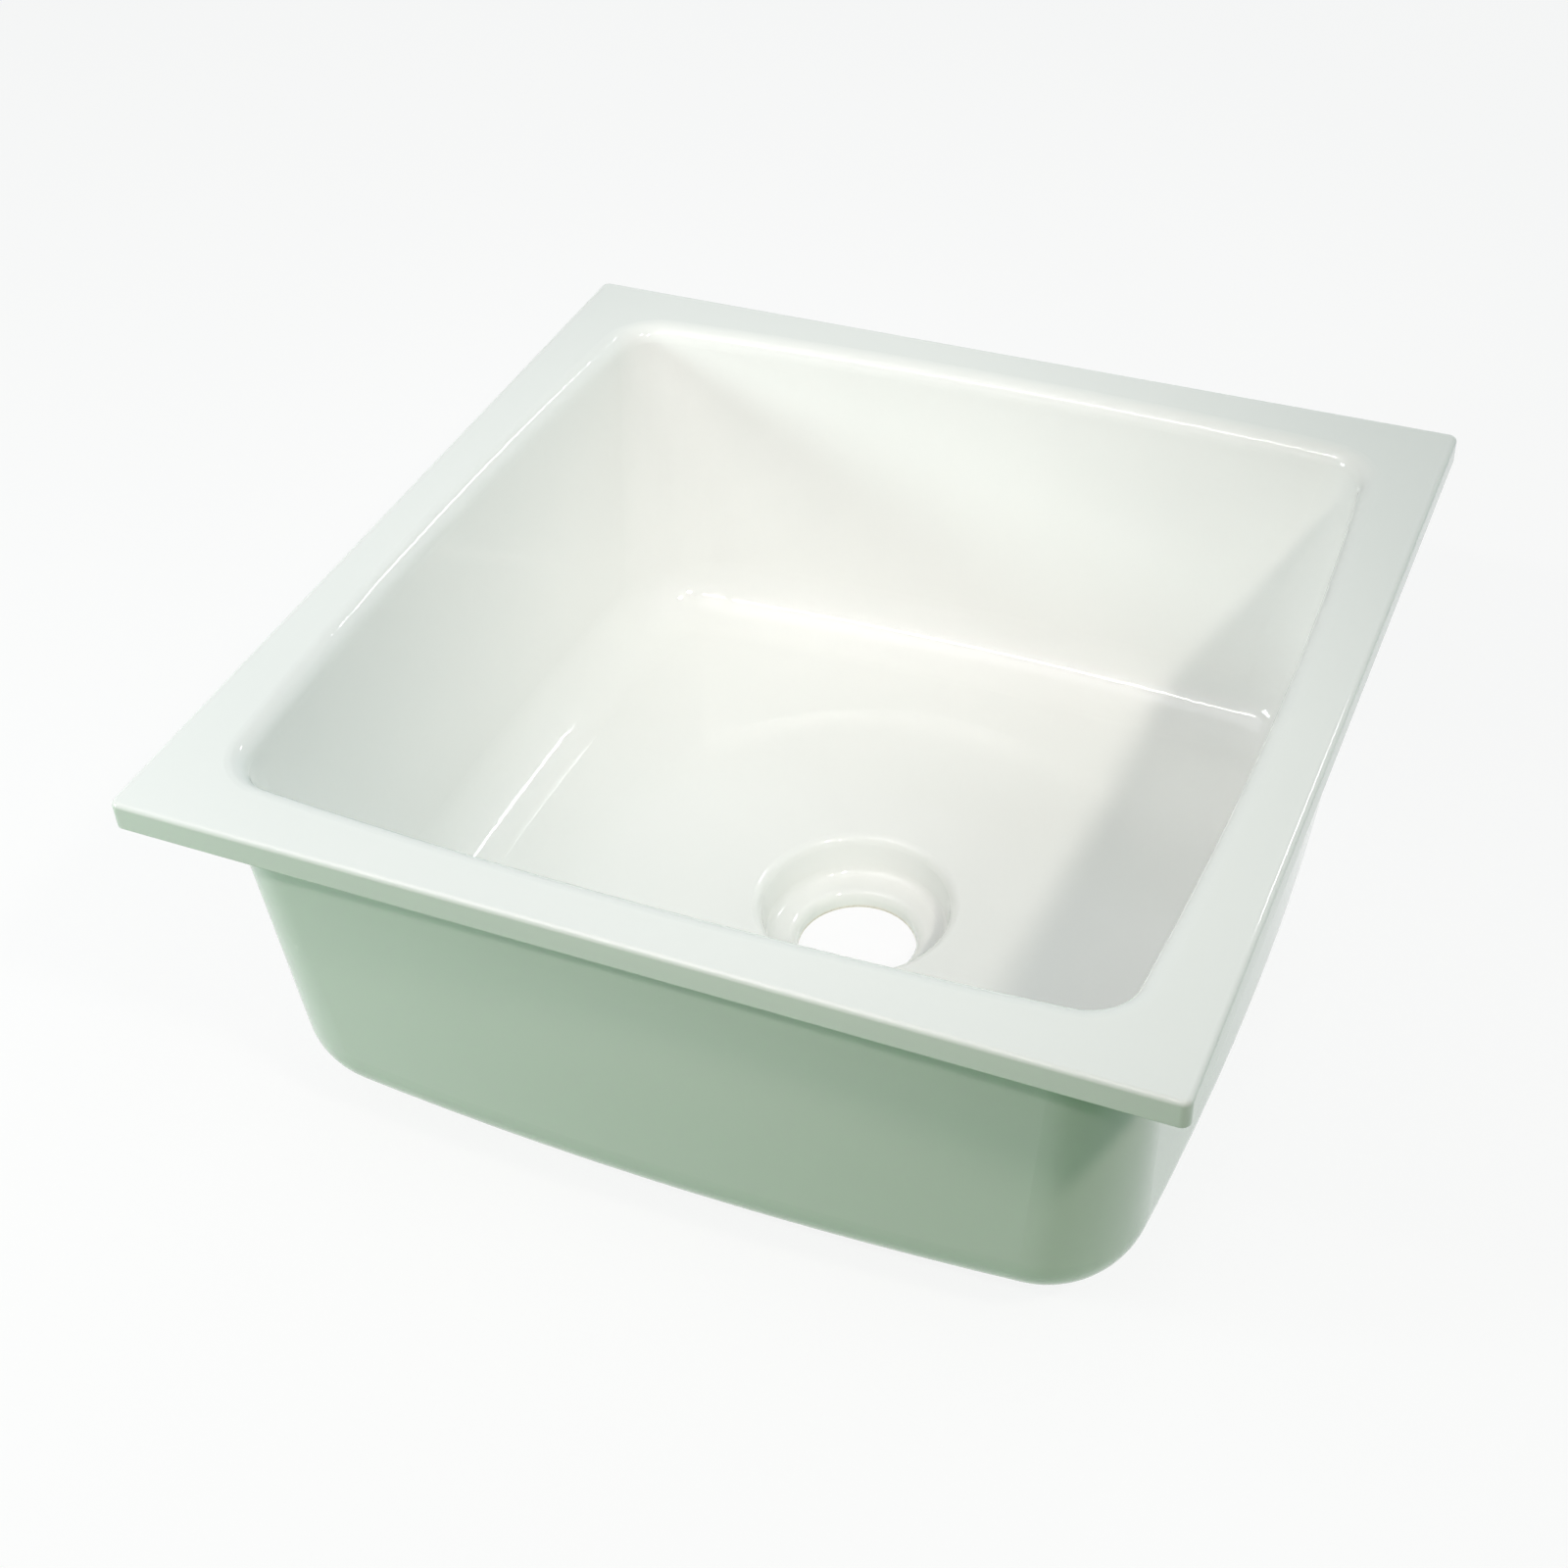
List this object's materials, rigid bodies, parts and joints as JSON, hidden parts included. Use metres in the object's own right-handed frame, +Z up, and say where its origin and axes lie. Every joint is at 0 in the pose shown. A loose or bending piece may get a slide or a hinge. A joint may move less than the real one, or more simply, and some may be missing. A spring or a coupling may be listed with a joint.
{
  "type": "drop-in ceramic sink",
  "caption": "Square white glazed ceramic drop-in sink with a flat rim, soft square bowl, central waste outlet, rim seal and toothed side fixing clips.",
  "frame": {"origin": "under the middle of the sink, on the plane of the waste foot's flat underside", "axes": "+Z up out of the bowl, +X along the front edge to the right, +Y to the back"},
  "size_m": [0.4, 0.4, 0.18],
  "materials": {
    "ceramic_glaze": "gloss",
    "seal_rubber": "matte",
    "plug_nylon": "satin",
    "shoe_nylon": "satin",
    "zinc_steel": "zinc plated",
    "screw_steel": "zinc plated"
  },
  "bodies": {
    "sink": {"sink_bowl": "ceramic_glaze", "rim_seal": "seal_rubber", "clip_plug_right_front": "plug_nylon", "clip_plug_right_back": "plug_nylon", "clip_plug_left_front": "plug_nylon", "clip_plug_left_back": "plug_nylon"},
    "shoe_right_front": {"clip_shoe_right_front": "shoe_nylon"},
    "plate_right_front": {"clip_plate_right_front": "zinc_steel"},
    "screw_right_front": {"clip_screw_right_front": "screw_steel"},
    "shoe_right_back": {"clip_shoe_right_back": "shoe_nylon"},
    "plate_right_back": {"clip_plate_right_back": "zinc_steel"},
    "screw_right_back": {"clip_screw_right_back": "screw_steel"},
    "shoe_left_front": {"clip_shoe_left_front": "shoe_nylon"},
    "plate_left_front": {"clip_plate_left_front": "zinc_steel"},
    "screw_left_front": {"clip_screw_left_front": "screw_steel"},
    "shoe_left_back": {"clip_shoe_left_back": "shoe_nylon"},
    "plate_left_back": {"clip_plate_left_back": "zinc_steel"},
    "screw_left_back": {"clip_screw_left_back": "screw_steel"}
  },
  "joints": [
    {"name": "clip_swivel_right_front", "type": "hinge", "parent": "sink", "child": "shoe_right_front", "pos_m": [0.186, -0.095, 0.132], "axis": [1, 0, 0], "range_deg": [-90, 90]},
    {"name": "clip_slide_right_front", "type": "slide", "parent": "shoe_right_front", "child": "plate_right_front", "axis": [0, 0, 1], "range_m": [-0.006, 0.006]},
    {"name": "screw_turn_right_front", "type": "hinge", "parent": "sink", "child": "screw_right_front", "pos_m": [0.186, -0.095, 0.132], "axis": [1, 0, 0], "continuous": true},
    {"name": "clip_swivel_right_back", "type": "hinge", "parent": "sink", "child": "shoe_right_back", "pos_m": [0.186, 0.095, 0.132], "axis": [1, 0, 0], "range_deg": [-90, 90]},
    {"name": "clip_slide_right_back", "type": "slide", "parent": "shoe_right_back", "child": "plate_right_back", "axis": [0, 0, 1], "range_m": [-0.006, 0.006]},
    {"name": "screw_turn_right_back", "type": "hinge", "parent": "sink", "child": "screw_right_back", "pos_m": [0.186, 0.095, 0.132], "axis": [1, 0, 0], "continuous": true},
    {"name": "clip_swivel_left_front", "type": "hinge", "parent": "sink", "child": "shoe_left_front", "pos_m": [-0.186, -0.095, 0.132], "axis": [-1, 0, 0], "range_deg": [-90, 90]},
    {"name": "clip_slide_left_front", "type": "slide", "parent": "shoe_left_front", "child": "plate_left_front", "axis": [0, 0, 1], "range_m": [-0.006, 0.006]},
    {"name": "screw_turn_left_front", "type": "hinge", "parent": "sink", "child": "screw_left_front", "pos_m": [-0.186, -0.095, 0.132], "axis": [-1, 0, 0], "continuous": true},
    {"name": "clip_swivel_left_back", "type": "hinge", "parent": "sink", "child": "shoe_left_back", "pos_m": [-0.186, 0.095, 0.132], "axis": [-1, 0, 0], "range_deg": [-90, 90]},
    {"name": "clip_slide_left_back", "type": "slide", "parent": "shoe_left_back", "child": "plate_left_back", "axis": [0, 0, 1], "range_m": [-0.006, 0.006]},
    {"name": "screw_turn_left_back", "type": "hinge", "parent": "sink", "child": "screw_left_back", "pos_m": [-0.186, 0.095, 0.132], "axis": [-1, 0, 0], "continuous": true}
  ]
}
